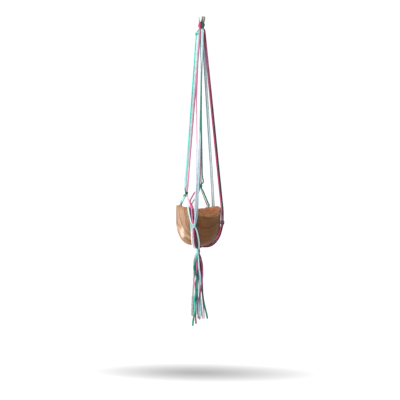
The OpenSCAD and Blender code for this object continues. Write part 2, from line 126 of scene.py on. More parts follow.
def make_floor():
    """A pale floor under the tassel with a painted shadow, a soft pool darkest in its middle, fading out to
    glowing white all round.
    """
    mat, nodes, links, shader = material("floor_pale")
    place = nodes.new("ShaderNodeTexCoord").outputs["Object"]
    away = nodes.new("ShaderNodeVectorMath")
    away.operation = "LENGTH"
    links.new(scaled(nodes, links, place, (1 / SHADOW_POOL_W, 1 / SHADOW_POOL_D, 0)), away.inputs[0])
    # Painted shadow: base colour and glow are lowest in the middle of the pool and rise to plain white
    # outside it.
    painted_light_fade = nodes.new("ShaderNodeMapRange")
    painted_light_fade.interpolation_type = "SMOOTHERSTEP"
    painted_light_fade.inputs["From Min"].default_value = -0.2
    painted_light_fade.inputs["From Max"].default_value = 1
    links.new(away.outputs["Value"], painted_light_fade.inputs["Value"])
    links.new(ramp(nodes, links, painted_light_fade.outputs["Result"], [(0, grey(0.4)), (0.8, grey(0.5)), (1, grey(0.1))]),
              shader.inputs["Base Color"])
    links.new(painted_light_fade.outputs["Result"], shader.inputs["Emission Strength"])
    shader.inputs["Emission Color"].default_value = (1, 1, 1, 1)
    shader.inputs["Roughness"].default_value = 0.8
    shader.inputs["Specular IOR Level"].default_value = 0.1
    turns = [2 * math.pi * i / 96 for i in range(96)]
    mesh = bpy.data.meshes.new("floor")
    mesh.from_pydata([(FLOOR_R * math.cos(a), FLOOR_R * math.sin(a), 0) for a in turns], [], [range(96)])
    mesh.materials.append(mat)
    floor = bpy.data.objects.new("floor", mesh)
    floor.location = (0, 0, FLOOR_Z)
    bpy.context.scene.collection.objects.link(floor)


AMBIENT, KEY_POWER, STRIP_POWER, TOP_POWER = 0.62, 21, 12, 26
# The last two are the half width and half depth of the floor's painted shadow, in metres.
FLOOR_R, SHADOW_POOL_W, SHADOW_POOL_D = 16, 0.98, 0.42


# ---- Colours
def srgb(red, green, blue):
    """A colour given as on a screen, 0 to 255, in Blender's linear values."""
    return [c / 3294.6 if c <= 10 else ((c / 255 + 0.055) / 1.055) ** 2.4 for c in (red, green, blue)]


COLOURS = {
    "teal": srgb(84, 208, 192), "aqua": srgb(150, 228, 220), "deep": srgb(24, 118, 100),
    "shade": srgb(58, 96, 98), "ink": srgb(38, 44, 58), "mint": srgb(214, 242, 241),
    "white": srgb(242, 247, 249), "pink": srgb(222, 118, 158), "rose": srgb(228, 188, 202),
    "hot": srgb(192, 70, 116), "maroon": srgb(138, 52, 84), "wine": srgb(96, 30, 54),
    "blue": srgb(180, 210, 220), "steel": srgb(126, 164, 174), "lilac": srgb(202, 208, 222),
    "grey": srgb(178, 194, 196), "sea": srgb(52, 126, 116), "bright": srgb(40, 188, 166),
    "flesh": srgb(206, 148, 166), "dusty": srgb(180, 112, 144), "jade": srgb(14, 150, 122),
    "ash": srgb(204, 198, 197), "mist": srgb(206, 220, 225),
    "sage": srgb(152, 164, 150), "olive": srgb(108, 112, 96),
    "navy": srgb(52, 56, 84), "green": srgb(44, 74, 66), "pale": srgb(247, 242, 246),
}


# ---- Material helpers
def material(name):
    mat = bpy.data.materials.new(name)
    mat.use_nodes = True
    nodes, links = mat.node_tree.nodes, mat.node_tree.links
    return mat, nodes, links, nodes["Principled BSDF"]


def attribute(nodes, name):
    node = nodes.new("ShaderNodeAttribute")
    node.attribute_name = name
    return node


def scaled(nodes, links, vector, scale):
    node = nodes.new("ShaderNodeMapping")
    node.inputs["Scale"].default_value = scale
    links.new(vector, node.inputs["Vector"])
    return node.outputs["Vector"]


def noise(nodes, links, vector, scale, detail=3, rough=0.55):
    node = nodes.new("ShaderNodeTexNoise")
    node.inputs["Scale"].default_value = scale
    node.inputs["Detail"].default_value = detail
    node.inputs["Roughness"].default_value = rough
    links.new(vector, node.inputs["Vector"])
    return node.outputs["Fac"]


def ramp(nodes, links, value, stops):
    node = nodes.new("ShaderNodeValToRGB")
    line = node.color_ramp.elements
    while len(line) < len(stops):
        line.new(0.5)
    for element, (place, colour) in zip(line, stops):
        element.position = place
        element.color = (*colour, 1) if len(colour) == 3 else colour
    links.new(value, node.inputs["Fac"])
    return node.outputs["Color"]


def blend_colour(nodes, links, way, factor, a, b):
    node = nodes.new("ShaderNodeMix")
    node.data_type = "RGBA"
    node.blend_type = way
    node.clamp_factor = True
    for socket, value in ((node.inputs[0], factor), (node.inputs[6], a), (node.inputs[7], b)):
        if isinstance(value, (int, float)):
            socket.default_value = value
        elif isinstance(value, (tuple, list)):
            socket.default_value = (*value, 1)
        else:
            links.new(value, socket)
    return node.outputs[2]


def bump(nodes, links, height, strength, distance, under=None):
    node = nodes.new("ShaderNodeBump")
    node.inputs["Strength"].default_value = strength
    node.inputs["Distance"].default_value = distance
    links.new(height, node.inputs["Height"])
    if under is not None:
        links.new(under, node.inputs["Normal"])
    return node.outputs["Normal"]


def grey(v):
    return (v, v, v)


def yarn_material():
    """Soft spun yarn: fibre streaks that follow its twist, uneven dye, painted shade in the creases between
    its plies, and a faint painted glow in its own colour.
    """
    mat, nodes, links, shader = material("yarn")
    fibre = attribute(nodes, "fibre").outputs["Vector"]
    place = nodes.new("ShaderNodeTexCoord").outputs["Object"]
    streaks = noise(nodes, links, scaled(nodes, links, fibre, (2.6, 2.6, 1.1)), 2.2, 4, 0.65)
    hairs = noise(nodes, links, scaled(nodes, links, fibre, (7, 7, 2.2)), 3.0, 2)
    dye = noise(nodes, links, place, 42, 3)
    tint = attribute(nodes, "tint").outputs["Color"]
    colour = blend_colour(nodes, links, "MULTIPLY", 1.0, tint,
                          ramp(nodes, links, streaks, [(0.3, grey(0.84)), (0.7, grey(1.12))]))
    colour = blend_colour(nodes, links, "MULTIPLY", 0.8, colour,
                          ramp(nodes, links, dye, [(0.35, grey(0.88)), (0.65, grey(1.08))]))
    # Painted shade: the colour is darkened in the creases between the plies.
    colour = blend_colour(nodes, links, "MULTIPLY", 0.85, colour,
                          ramp(nodes, links, attribute(nodes, "crease_shade").outputs["Fac"],
                               [(0.35, grey(1.0)), (1.0, grey(0.72))]))
    links.new(colour, shader.inputs["Base Color"])
    shader.inputs["Roughness"].default_value = 0.86
    shader.inputs["Specular IOR Level"].default_value = 0.25
    shader.inputs["Sheen Weight"].default_value = 0.35
    shader.inputs["Sheen Roughness"].default_value = 0.45
    # A faint painted glow in the yarn's own colour, lifting its shaded side.
    links.new(colour, shader.inputs["Emission Color"])
    shader.inputs["Emission Strength"].default_value = 0.09
    soft = bump(nodes, links, streaks, 0.35, 0.0003)
    links.new(bump(nodes, links, hairs, 0.3, 0.0002, soft), shader.inputs["Normal"])
    return mat


def ring_space(nodes, links, place):
    """The distance from the tree's pith line, and the way along it, so that streaks follow growth rings."""
    moved = nodes.new("ShaderNodeMapping")
    moved.inputs["Location"].default_value = HEART_LINE
    links.new(place, moved.inputs["Vector"])
    apart, away, joined = (nodes.new(kind) for kind in (
        "ShaderNodeSeparateXYZ", "ShaderNodeVectorMath", "ShaderNodeCombineXYZ"))
    away.operation = "LENGTH"
    links.new(moved.outputs["Vector"], apart.inputs[0])
    links.new(scaled(nodes, links, moved.outputs["Vector"], (1, 0, 1)), away.inputs[0])
    links.new(away.outputs["Value"], joined.inputs["X"])
    links.new(apart.outputs["Y"], joined.inputs["Y"])
    return joined.outputs["Vector"]


def near_spot(nodes, links, place, at, size):
    """A soft share near 1 inside an egg-shaped spot."""
    moved, away, painted_light_fade = (nodes.new(kind) for kind in (
        "ShaderNodeMapping", "ShaderNodeVectorMath", "ShaderNodeMapRange"))
    moved.inputs["Location"].default_value = [-a / s for a, s in zip(at, size)]
    moved.inputs["Scale"].default_value = [1 / s for s in size]
    links.new(place, moved.inputs["Vector"])
    away.operation = "LENGTH"
    links.new(moved.outputs["Vector"], away.inputs[0])
    links.new(away.outputs["Value"], painted_light_fade.inputs["Value"])
    painted_light_fade.interpolation_type = "SMOOTHSTEP"
    painted_light_fade.inputs["From Min"].default_value = 1
    painted_light_fade.inputs["From Max"].default_value = 0.35
    painted_light_fade.inputs["To Max"].default_value = 0.75
    return painted_light_fade.outputs["Result"]


# The tree's pith line runs from front to back through this place, given as its opposite. Then a painted
# highlight, a cream streak of light low on the left: its middle and its half size
HEART_LINE = (-0.05, 0, 0.6)
HIGHLIGHT_AT, HIGHLIGHT_SIZE = (-0.051, -0.044, -0.69), (0.0095, 0.05, 0.027)


def wood_outside(nodes, links, place, broad, fine, left_to_right):
    """Wood tones along the grain, pale where lit on the left and darker in painted shade on the right, and a
    painted highlight low on the left.
    """
    # The pale ramp is the wood as lit on the left and the dark ramp the same wood in painted shade on the
    # right; the blend share runs from left to right.
    pale = ramp(nodes, links, broad, [(0.32, srgb(112, 76, 50)), (0.44, srgb(150, 111, 82)),
                                     (0.58, srgb(178, 142, 115)), (0.7, srgb(208, 186, 164))])
    dark = ramp(nodes, links, broad, [(0.3, srgb(92, 55, 27)), (0.55, srgb(110, 70, 36)),
                                     (0.75, srgb(126, 82, 45))])
    # The spot colour is a painted highlight: a cream streak of light low on the left.
    spot = ramp(nodes, links, fine, [(0.3, srgb(186, 152, 122)), (0.6, srgb(240, 226, 206))])
    colour = blend_colour(nodes, links, "MIX", left_to_right, pale, dark)
    return blend_colour(nodes, links, "MIX", near_spot(nodes, links, place, HIGHLIGHT_AT, HIGHLIGHT_SIZE), colour, spot)


def wood_inside(nodes, links, broad, left_to_right):
    """A redder wood, in painted shade on the left and lighter with painted light on the right."""
    left = ramp(nodes, links, broad, [(0.3, srgb(124, 72, 44)), (0.55, srgb(158, 100, 66)),
                                     (0.75, srgb(190, 130, 92))])
    right = ramp(nodes, links, broad, [(0.3, srgb(188, 118, 76)), (0.7, srgb(244, 182, 136))])
    return blend_colour(nodes, links, "MIX", left_to_right, left, right)


def wood_material():
    """Oiled wood: growth rings round the tree's pith line, a cut edge at the rim and a redder inside. Painted
    light and
    shade: pale on the lit left and darker on the right outside, a painted highlight low on the left, and
    inside, painted shade on the left and painted light on the right."""
    mat, nodes, links, shader = material("wood")
    place = nodes.new("ShaderNodeTexCoord").outputs["Object"]
    bends = nodes.new("ShaderNodeVectorMath")
    bends.operation = "MULTIPLY_ADD"
    links.new(noise(nodes, links, place, 16, 3), bends.inputs[0])
    bends.inputs[1].default_value = (0.03, 0.03, 0.03)
    links.new(place, bends.inputs[2])
    apart = nodes.new("ShaderNodeSeparateXYZ")
    links.new(bends.outputs["Vector"], apart.inputs[0])
    grain = ring_space(nodes, links, bends.outputs["Vector"])
    broad = noise(nodes, links, scaled(nodes, links, grain, (1, 0.1, 1)), 95, 3, 0.6)
    fine = noise(nodes, links, scaled(nodes, links, grain, (1, 0.12, 1)), 420, 4, 0.7)
    pores = noise(nodes, links, scaled(nodes, links, grain, (1, 0.1, 1)), 1100, 2, 0.5)
    # Painted light and shade: a share from 0 at the lit left of the bowl to 1 at its right, blending lit wood
    # into painted shade outside and painted shade into painted light inside.
    left_to_right = nodes.new("ShaderNodeMapRange")
    links.new(apart.outputs["X"], left_to_right.inputs["Value"])
    left_to_right.inputs["From Min"].default_value = -0.034
    left_to_right.inputs["From Max"].default_value = 0.03
    left_to_right.interpolation_type = "SMOOTHSTEP"
    outside = wood_outside(nodes, links, place, broad, fine, left_to_right.outputs["Result"])
    inside = wood_inside(nodes, links, broad, left_to_right.outputs["Result"])
    edge = ramp(nodes, links, broad, [(0.3, srgb(132, 91, 56)), (0.7, srgb(172, 127, 86))])
    colour = blend_colour(nodes, links, "MIX", attribute(nodes, "inside").outputs["Fac"], outside, inside)
    colour = blend_colour(nodes, links, "MIX", attribute(nodes, "edge").outputs["Fac"], colour, edge)
    colour = blend_colour(nodes, links, "MULTIPLY", 0.75, colour,
                          ramp(nodes, links, fine, [(0.35, grey(0.7)), (0.6, grey(1.05))]))
    colour = blend_colour(nodes, links, "MULTIPLY", 0.5, colour,
                          ramp(nodes, links, pores, [(0.36, grey(0.5)), (0.44, grey(1.0))]))
    links.new(colour, shader.inputs["Base Color"])
    worn = nodes.new("ShaderNodeMapRange")
    links.new(fine, worn.inputs["Value"])
    worn.inputs["To Min"].default_value = 0.42
    worn.inputs["To Max"].default_value = 0.58
    links.new(worn.outputs["Result"], shader.inputs["Roughness"])
    shader.inputs["Specular IOR Level"].default_value = 0.2
    links.new(bump(nodes, links, fine, 0.35, 0.0004), shader.inputs["Normal"])
    return mat


# ---- Route helpers, as in part.scad
def cosd(a):
    return math.cos(math.radians(a))


def sind(a):
    return math.sin(math.radians(a))


def along(a, b, f):
    return np.asarray(a, float) + (np.asarray(b, float) - np.asarray(a, float)) * f


def concat(*lists):
    return [p for points in lists for p in points]


def beside(az, r, t, z, k=1.0):
    """A point beside a meridian: az is its azimuth, r the distance out and t the distance to the side."""
    return [r * cosd(az) - t * sind(az), r * sind(az) + t * cosd(az), z, k]


def rim_at(az):
    """Height of the rim above the foot."""
    corner = 10 * max(0, cosd(az + 42)) ** 4
    return BOWL_H + 9 * cosd(az - 195) + 10 * cosd(2 * az - 63) + 4 * cosd(3 * az - 56) + corner


def side_at(f, out):
    """The bowl's outer side as (radius, height), at f from 0, the belly, to 90, the foot."""
    across = BELLY_R - FOOT_R
    tilt = np.array([cosd(f) / across, sind(f) / BELLY_H])
    tilt /= np.linalg.norm(tilt)
    return FOOT_R + across * cosd(f) + out * tilt[0], BELLY_H - BELLY_H * sind(f) - out * tilt[1]


def wrap_spot(i):
    """Where a yarn goes into the top of the gather wrap."""
    if i == 0:
        return [0, 0, ENDS_Z, GRIP]
    if i <= 5:
        return beside(-137 + 72 * (i - 1), 2.9, 0, ENDS_Z, GRIP)
    return beside(-155 + 36 * (i - 6), 5.8, 0, ENDS_Z, GRIP)


def cradle(start, az, t, level, spot, deep=False, bow=0):
    """A yarn laid down the bowl from a start point, and in under the foot to its spot on the wrap."""
    out = LAY_GAP + YARN_D / 2 + level * LAYER
    goal = wrap_spot(spot)
    near = beside(az, 14, t * 0.86, FOOT_Z - out - 0.5, 0.85)
    dive = along(near, goal, 0.7)
    sink = 0.04 if spot == 0 else 0.64 if deep or level == 1 else 0.33
    side = []
    for f in np.arange(14, 90.1, 9.5):
        aside = bow * sind(2 * f)
        r, h = side_at(f, out - 0.6 * aside)
        side.append(beside(az, math.sqrt(r * r - (t + aside) ** 2), t + aside, FOOT_Z + h))
    return [start, *side, near, [dive[0], dive[1], along(FOOT_Z - LAY_GAP - YARN_D / 2, goal[2], sink), 0.7],
            goal]


def round_bowl(a, b, n):
    """A yarn led round the bowl outside its rim, from one azimuth, height and radius to another."""
    steps = [(along(a, b, i / n), along(a[2], b[2], min(1, 2.4 * i / n))) for i in range(n + 1)]
    return [beside(p[0], r, 0, p[1]) for p, r in steps]


def knot_place(knot, t, level, up):
    return beside(knot[0][0], knot[0][1] + (level - 0.5) * 4.7, t, RING_Z + up * knot[3] / 2, 0.92)


def face_place(knot, dx, dy, up):
    return [knot[0][0] + dx, knot[0][1] + dy, knot[0][2] + up * knot[3] / 2, 0.92]


# ---- Routes of the yarns, each a list of stretches between knots
CORDS = {
    "cord_teal_left": [
        [[-8.5, -6, LEGS_Z, 0.85], [-11, -6, -42, 1], [-15.5, -6.5, -48, 0.9]],
        [[-15.5, -6.5, -56, 0.9], [-15.8, -7, -64, 1], [-42.7, -30, FOOT_Z + 205, 1],
            [-43.4, -32.4, FOOT_Z + 187, 1], face_place(LEFT_KNOT, -2.5, -2.4, 1)],
        concat([face_place(LEFT_KNOT, -2.5, -2.4, -1), [-43, -30, FOOT_Z + 160, 1],
            [-52, 26, FOOT_Z + 133, 1], beside(144, 68, 0, FOOT_Z + 121.5),
            beside(139, 76, 0, FOOT_Z + 119.5), beside(134.5, 76.6, 0, FOOT_Z + 110)],
            round_bowl([131, FOOT_Z + 103, 76.6], [101.8, RING_Z + 8, 75.2], 5),
            [knot_place(BACK_KNOT, 2.4, 0, 1)]),
        cradle(knot_place(BACK_KNOT, 2.4, 0, -1), 100, 2.4, 0, 15)],
    "cord_mint_left": [
        [[-7, 2, LEGS_Z, 0.85], [-9.4, 1.4, -50, 1], [-46.9, -24.4, FOOT_Z + 205, 1],
            [-45.2, -26.5, FOOT_Z + 187, 1], face_place(LEFT_KNOT, -2.5, 2.4, 1)],
        concat([face_place(LEFT_KNOT, -2.5, 2.4, -1), [-47, -23.6, FOOT_Z + 163.5, 1],
            [-57, 24, FOOT_Z + 137, 1], beside(148.5, 70, 0, FOOT_Z + 124.5),
            beside(144.5, 77.6, 0, FOOT_Z + 122.3), beside(140.5, 80.8, 0, FOOT_Z + 116)],
            round_bowl([136, FOOT_Z + 108, 81.8], [101.8, RING_Z + 9, 80.4], 5),
            [knot_place(BACK_KNOT, 2.4, 1, 1)]),
        cradle(knot_place(BACK_KNOT, 2.4, 1, -1), 100, 2.4, 1, 14)],
    "cord_white_left": [
        [[-7, -2.6, LEGS_Z, 0.85], [-7.6, -3.5, -50, 1], [-40, -25.5, FOOT_Z + 205, 1],
            [-38.2, -26.4, FOOT_Z + 187, 1], face_place(LEFT_KNOT, 2.5, 2.4, 1)],
        [face_place(LEFT_KNOT, 2.5, 2.4, -1), [-38.6, -30, FOOT_Z + 158.5, 1],
            [-35, -61, FOOT_Z + 147, 1], [-33.5, -67.6, FOOT_Z + 132, 1], [-31, -71.6, FOOT_Z + 116, 1],
            knot_place(FRONT_KNOT, -7.1, 1, 1)],
        cradle(knot_place(FRONT_KNOT, -7.1, 1, -1), -101, -7.1, 1, 6)],
    "cord_pink_left": [
        [[-2.4, -2.4, LEGS_Z, 0.85], [-3, -3, -50, 1], [-34.8, -30.5, FOOT_Z + 205, 1],
            [-35.6, -32.6, FOOT_Z + 187, 1], face_place(LEFT_KNOT, 2.5, -2.4, 1)],
        [face_place(LEFT_KNOT, 2.5, -2.4, -1), [-36, -38, FOOT_Z + 162.5, 1],
            [-29.5, -68.5, FOOT_Z + 150, 1], [-22.9, -74.4, FOOT_Z + 132, 1], [-21.6, -75.8, FOOT_Z + 116, 1],
            knot_place(FRONT_KNOT, -2.4, 1, 1)],
        cradle(knot_place(FRONT_KNOT, -2.4, 1, -1), -101, -2.4, 1, 7)],
    "cord_white_front": [
        [[2.4, -7, LEGS_Z, 0.85], [2.2, -7.8, -50, 1], [2.6, -23.5, FOOT_Z + 535, 1],
            [1.6, -40.4, FOOT_Z + 385, 1], [-7.7, -74.8, FOOT_Z + 127, 1],
            [-8.4, -79.4, FOOT_Z + 110, 1], knot_place(FRONT_KNOT, 2.4, 1, 1)],
        cradle(knot_place(FRONT_KNOT, 2.4, 1, -1), -101, 2.4, 1, 8)],
    "cord_blue_front": [
        [[7, -7, LEGS_Z, 0.85], [6, -10.6, -50, 1], [3.2, -28.6, FOOT_Z + 535, 1],
            [3.6, -47.4, FOOT_Z + 385, 1], [-3, -75, FOOT_Z + 127, 1],
            [-3.4, -77, FOOT_Z + 110, 1], knot_place(FRONT_KNOT, 7.1, 1, 1)],
        cradle(knot_place(FRONT_KNOT, 7.1, 1, -1), -101, 7.1, 1, 9, bow = 7)],
    "cord_pink_front": [
        [[-2.4, -7, LEGS_Z, 0.85], [-3, -9, -50, 1], [-9, -19, FOOT_Z + 595, 1],
            [-12, -33, FOOT_Z + 480, 1], [-8.6, -50, FOOT_Z + 345, 1], [-8.2, -67, FOOT_Z + 215, 1],
            [-12.4, -74, FOOT_Z + 127, 1], [-12.2, -74.4, FOOT_Z + 110, 1],
            knot_place(FRONT_KNOT, 4.7, 0, 1)],
        cradle(knot_place(FRONT_KNOT, 4.7, 0, -1), -101, 4.7, 0, 2)],
    "cord_teal_middle": [
        [[2.4, 2.4, LEGS_Z, 0.85], [2.6, 2, -50, 1], [3.2, 0, FOOT_Z + 535, 1], [4.6, -1.2, FOOT_Z + 405, 1],
            [10.4, -3, FOOT_Z + 221, 1],
            [15.2, -3.4, FOOT_Z + 203.5, 1], [11.4, -3, FOOT_Z + 199, 1],
            face_place(MIDDLE_KNOT, 2.6, -2.5, 1)],
        concat([face_place(MIDDLE_KNOT, 2.6, -2.5, -1), [12, 2, FOOT_Z + 177, 1],
            beside(61, 68.5, 0, FOOT_Z + 117.2), beside(63, 77.6, 0, FOOT_Z + 115.6),
            beside(67, 79.6, 0, FOOT_Z + 109)],
            round_bowl([70.5, FOOT_Z + 101, 80.6], [98.2, RING_Z + 9, 80.4], 5),
            [knot_place(BACK_KNOT, -2.4, 1, 1)]),
        cradle(knot_place(BACK_KNOT, -2.4, 1, -1), 100, -2.4, 1, 13)],
    "cord_rose_middle": [
        [[-2.4, 7, LEGS_Z, 0.85], [-1.6, 7.4, -50, 1], [0.6, 10, FOOT_Z + 610, 1],
            [2.8, 9.6, FOOT_Z + 535, 1], [4.4, 8.4, FOOT_Z + 405, 1], [5, 4.4, FOOT_Z + 230, 1],
            face_place(MIDDLE_KNOT, 2.6, 2.5, 1)],
        concat([face_place(MIDDLE_KNOT, 2.6, 2.5, -1), [6.8, 8, FOOT_Z + 176, 1],
            beside(66, 67.5, 0, FOOT_Z + 116.4), beside(68, 75.6, 0, FOOT_Z + 114.4),
            beside(72.5, 76.6, 0, FOOT_Z + 107)],
            round_bowl([76, FOOT_Z + 99, 76.2], [98.2, RING_Z + 8, 75.2], 5),
            [knot_place(BACK_KNOT, -2.4, 0, 1)]),
        cradle(knot_place(BACK_KNOT, -2.4, 0, -1), 100, -2.4, 0, 5)],
    "cord_maroon_middle": [
        [[2.4, -2.4, LEGS_Z, 0.85], [2.2, -2.8, -50, 1], [3, -5, FOOT_Z + 535, 1],
            [3.2, -6, FOOT_Z + 405, 1], [0.2, -3.4, FOOT_Z + 230, 1], face_place(MIDDLE_KNOT, -2.6, -2.5, 1)],
        [face_place(MIDDLE_KNOT, -2.6, -2.5, -1), [0.6, -6, FOOT_Z + 178, 1], [-13.4, -30, FOOT_Z + 174, 1],
            [-29, -60, FOOT_Z + 149, 1], [-18, -73, FOOT_Z + 135, 1], [-17.2, -73.4, FOOT_Z + 114, 1],
            knot_place(FRONT_KNOT, 0, 0, 1)],
        cradle(knot_place(FRONT_KNOT, 0, 0, -1), -101, 0, 0, 0)],
    "cord_grey_middle": [
        [[-2.4, 2.4, LEGS_Z, 0.85], [-2.2, 2.8, -50, 1], [0, 5.4, FOOT_Z + 610, 1],
            [2.6, 4.8, FOOT_Z + 535, 1], [3, 3.6, FOOT_Z + 405, 1], [-1.6, 2, FOOT_Z + 230, 1],
            face_place(MIDDLE_KNOT, -2.6, 2.5, 1)],
        [face_place(MIDDLE_KNOT, -2.6, 2.5, -1), [0.6, -2, FOOT_Z + 172, 1],
            [-23.5, -57, FOOT_Z + 138, 1], [-28.3, -70.2, FOOT_Z + 135, 1], [-26, -71.4, FOOT_Z + 116, 1],
            knot_place(FRONT_KNOT, -4.7, 0, 1)],
        cradle(knot_place(FRONT_KNOT, -4.7, 0, -1), -101, -4.7, 0, 1)],
    "cord_grey_back": [
        concat([[2.4, 7, LEGS_Z, 0.85], [3.2, 8, -50, 1], [44.4, 60.8, FOOT_Z + 122, 1],
            [44.4, 61.6, FOOT_Z + 108, 1]],
            cradle([45, 60.9, FOOT_Z + 92, 1], 50.5, 2.7, 0, 4))],
    "cord_lilac_back": [
        concat([[7, 7, LEGS_Z, 0.85], [8, 8, -50, 1], [49.6, 56.4, FOOT_Z + 122, 1],
            [49.8, 57, FOOT_Z + 108, 1]],
            cradle([49.6, 57.4, FOOT_Z + 92, 1], 50.5, -2.7, 0, 12, True))],
    "cord_pink_right": [
        [[7, -2.4, LEGS_Z, 0.85], [8, -3, -50, 1], [73.4, -14.4, FOOT_Z + 116, 1],
            [73.9, -14.6, FOOT_Z + 100, 1], knot_place(RIGHT_KNOT, -2.5, 0, 1)],
        cradle(knot_place(RIGHT_KNOT, -2.5, 0, -1), -8, -2.5, 0, 3)],
    "cord_maroon_right": [
        [[7, 2.4, LEGS_Z, 0.85], [8.6, 2.4, -50, 1], [74.2, -9.4, FOOT_Z + 116, 1],
            [74.8, -9, FOOT_Z + 100, 1], knot_place(RIGHT_KNOT, 2.5, 0, 1)],
        cradle(knot_place(RIGHT_KNOT, 2.5, 0, -1), -8, 2.5, 0, 11)],
    "cord_green_right": [
        [[11.4, 0, LEGS_Z, 0.85], [13, 0, -50, 1], [78.4, -12.6, FOOT_Z + 116, 1],
            [79, -12.2, FOOT_Z + 100, 1], knot_place(RIGHT_KNOT, 0, 1, 1)],
        cradle(knot_place(RIGHT_KNOT, 0, 1, -1), -8, 0, 1, 10)],
}

# Routes of the tassel's tails
TAILS = {
    "tail_teal": [[-3, -5, TAILS_Z, GRIP], [-4.6, -8.4, -774, 0.9], [-13, -11.6, -811, 1],
        [-0.6, -12, -846, 1], [-1.6, -12, -878, 1], [-10.2, -12, -911, 1], [-5.6, -12, -933, 1],
        [-8.6, -11, -958, 1], [-12.8, -9, -988, 1.05], [-13.2, -8.5, -999, 1]],
    "tail_blue": [[0.6, -5.6, TAILS_Z, GRIP], [2, -8.6, -774, 0.9], [4.4, -11, -812, 1],
        [9.4, -10.4, -840, 1], [6, -7, -872, 1], [8.4, -6, -912, 1], [11, -8.6, -948, 1],
        [11.4, -10, -976, 1]],
    "tail_pink": [[4.6, -3.2, TAILS_Z, GRIP], [8.8, -5, -774, 0.9], [15, -6.4, -800, 1],
        [16.6, -6.4, -836, 1], [14.4, -7.4, -856, 1], [10.4, -11.4, -886, 1], [5.2, -11, -912, 1],
        [5.4, -8.4, -940, 1], [8.4, -5, -979, 1]],
    "tail_white": [[-5.4, -1.6, TAILS_Z, GRIP], [-8.6, -3.4, -774, 0.9], [-13.6, -5.6, -790, 1],
        [-13, -6, -832, 1], [-14.2, -6, -875, 1], [-17.6, -6, -915, 1], [-18, -6, -966, 1]],
    "tail_rosy": [[-2.2, -1.6, TAILS_Z, GRIP], [-2.6, -3.6, -776, 0.8], [-3.8, -6.2, -800, 1],
        [-4.6, -6.4, -825, 1], [-8.2, -6.4, -856, 1], [-8.6, -6.4, -876, 1], [-9.4, -6.4, -905, 1]],
    "tail_maroon": [[2.2, -1.6, TAILS_Z, GRIP], [2.4, -3.6, -776, 0.8], [1.6, -6, -812, 1],
        [0.4, -6.4, -850, 1], [-2.6, -6.4, -890, 1], [-6, -6.2, -930, 1], [-5.4, -6, -960, 1],
        [-2.6, -6, -993, 1]],
    "tail_mint": [[-5.4, 2.4, TAILS_Z, GRIP], [-8.2, 2, -776, 0.85], [-12.6, 0.4, -800, 1],
        [-12, -1, -850, 1], [-13.4, -1.2, -900, 1], [-13, -1.4, -940, 1], [-13.6, -1.6, -970, 1]],
    "tail_short": [[-2.6, 1.6, TAILS_Z, GRIP], [-3.8, 1, -778, 0.8], [-7.4, -0.6, -810, 1],
        [-6.6, -1, -850, 1], [-7.6, -1.4, -890, 1], [-8.4, -1.6, -927, 1]],
    "tail_sage": [[0.8, 1.4, TAILS_Z, GRIP], [0.4, 0.8, -780, 0.8], [-1.4, -0.8, -815, 1],
        [-1.2, -1.4, -860, 1], [0.6, -1.4, -900, 1], [3, -1.4, -940, 1], [3.8, -1.4, -977, 1]],
    "tail_grey": [[4, 0.6, TAILS_Z, GRIP], [5.6, 0.2, -778, 0.8], [8.6, -1.2, -810, 1],
        [7, -1.4, -850, 1], [9.4, -1.2, -900, 1], [14, -1.2, -940, 1], [18.8, -1.4, -977, 1]],
    "tail_green": [[5.6, 4, TAILS_Z, GRIP], [9, 3.4, -776, 0.85], [14.4, 1, -805, 1],
        [15.2, -1, -850, 1], [16.6, -1.4, -890, 1], [20.4, -1.6, -920, 1], [26.4, -2, -944, 1],
        [31, -2, -962, 1.05], [33.6, -2, -976, 1]],
    "tail_olive": [[2.4, 4.8, TAILS_Z, GRIP], [4.4, 5.4, -776, 0.85], [10.4, 4.8, -810, 1],
        [12, 3.6, -850, 1], [15.6, 3.4, -890, 1], [20, 3.2, -930, 1], [24, 3, -979, 1]],
    "tail_lilac": [[-1.4, 5.4, TAILS_Z, GRIP], [-1, 6.4, -776, 0.85], [4, 5, -812, 1],
        [5, 3.4, -850, 1], [6.4, 3.4, -890, 1], [9.4, 3.4, -930, 1], [14, 3.4, -968, 1]],
    "tail_navy": [[-4.6, 5.6, TAILS_Z, GRIP], [-6.4, 6.6, -778, 0.85], [-4, 5, -815, 1],
        [-2.6, 3.4, -850, 1], [-1.6, 3.4, -890, 1], [0.4, 3.4, -930, 1], [1.4, 3.4, -964, 1]],
    "tail_pale": [[-8.4, 5, TAILS_Z, GRIP], [-11.6, 6.4, -780, 0.85], [-12, 5.4, -815, 1],
        [-10.6, 3.8, -850, 1], [-10.6, 3.6, -890, 1], [-9, 3.4, -930, 1], [-9.6, 3.4, -958, 1]],
    "tail_plum": [[1.4, 9.2, TAILS_Z, GRIP], [0.6, 11.4, -780, 0.85], [-1, 10.4, -815, 1],
        [-6.6, 8.4, -850, 1], [-7, 8.2, -890, 1], [-4.8, 8.2, -930, 1], [-4.2, 8.2, -972, 1]],
}

# The hanging loop's yarns: x at the knot, x at the crown, height of the crown
LOOPS = {
    "loop_grey": [-5.4, -7.4, 0],
    "loop_green": [0.9, 3.2, 0.4],
    "loop_sage": [5.0, 7.0, 1.9],
    "loop_dark": [8.4, 10.9, 0.2],
}
